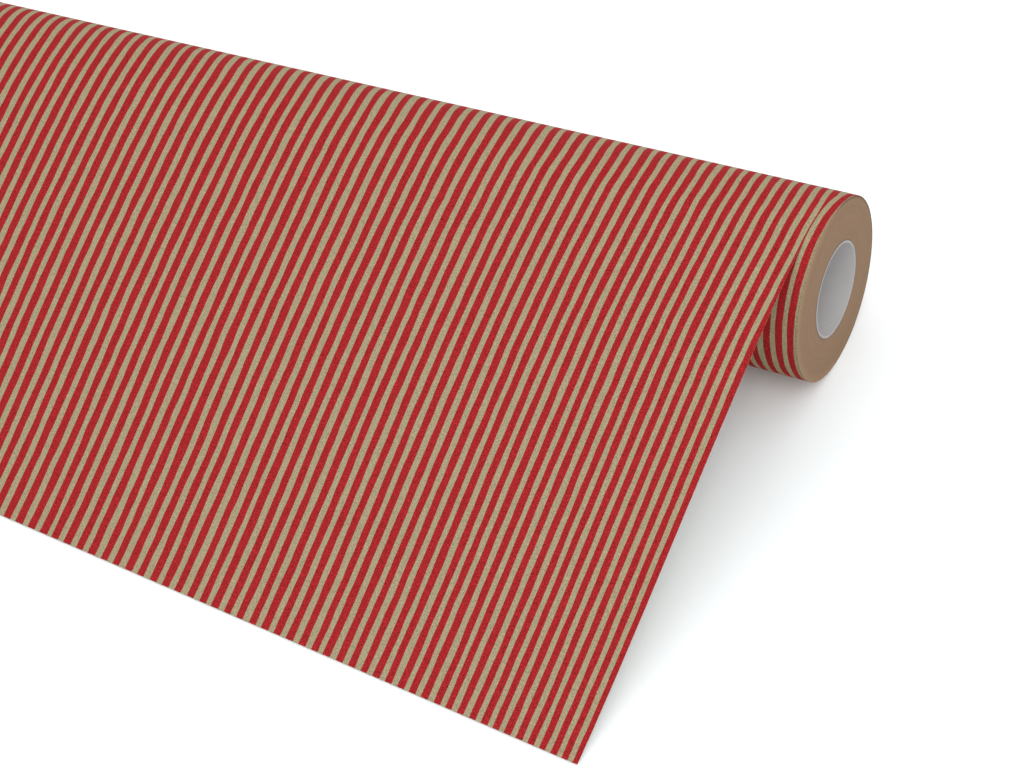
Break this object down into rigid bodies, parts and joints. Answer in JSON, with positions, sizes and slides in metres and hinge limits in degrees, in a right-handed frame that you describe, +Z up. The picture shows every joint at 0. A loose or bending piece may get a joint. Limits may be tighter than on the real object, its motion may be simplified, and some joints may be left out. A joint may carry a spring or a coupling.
{
  "type": "wrapping paper roll",
  "caption": "Roll of striped kraft gift wrap on a hollow board core, lying on its side with its free end drawn off the top and down to the surface.",
  "frame": {"origin": "centre of the core's bore, half way along the roll", "axes": "+X along the roll's axis towards the end whose paper edge is stepped in, -Y the way the paper is drawn off, +Z up"},
  "size_m": [0.5142, 0.2466, 0.0751],
  "materials": {
    "core_liner": "matt grey-white liner board",
    "core_board": "matt grey-brown core board",
    "tape": "matt clear adhesive tape",
    "striped_paper": "matt uncoated kraft, printed with red stripes"
  },
  "bodies": {
    "sheet": {"unrolled_sheet": "striped_paper"},
    "roll": {"core_inner_ply": "core_liner", "core_middle_ply": "core_board", "core_outer_ply": "core_board", "start_tape": "tape", "wound_paper": "striped_paper", "outer_turn": "striped_paper"}
  },
  "joints": [
    {"name": "roll_turn", "type": "hinge", "parent": "sheet", "child": "roll", "pos_m": [0, 0, 0], "axis": [-1, 0, 0], "range_deg": [0, 240], "deforming": ["unrolled_sheet"]}
  ]
}
